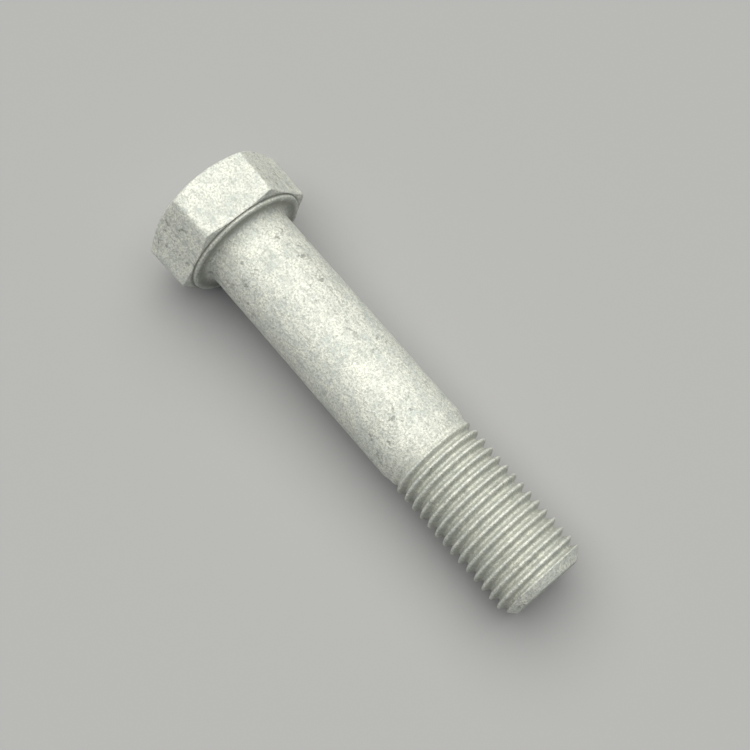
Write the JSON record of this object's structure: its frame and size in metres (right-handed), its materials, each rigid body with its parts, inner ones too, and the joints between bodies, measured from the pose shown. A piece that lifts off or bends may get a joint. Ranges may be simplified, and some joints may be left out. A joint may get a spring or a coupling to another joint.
{
  "type": "hex bolt",
  "caption": "Hex-head bolt with a washer face, a plain shank and a right-hand metric thread up to a chamfered point, hot-dip galvanised.",
  "frame": {"origin": "centre of the flat top of the head", "axes": "+X along the bolt from the head to the point, +Z square to one pair of wrench flats"},
  "size_m": [0.1156, 0.0354, 0.031],
  "materials": {
    "galvanised_steel": "matt hot-dip zinc, mottled light grey with small dark pits"
  },
  "bodies": {
    "root": {"hex_bolt": "galvanised_steel"}
  },
  "joints": []
}
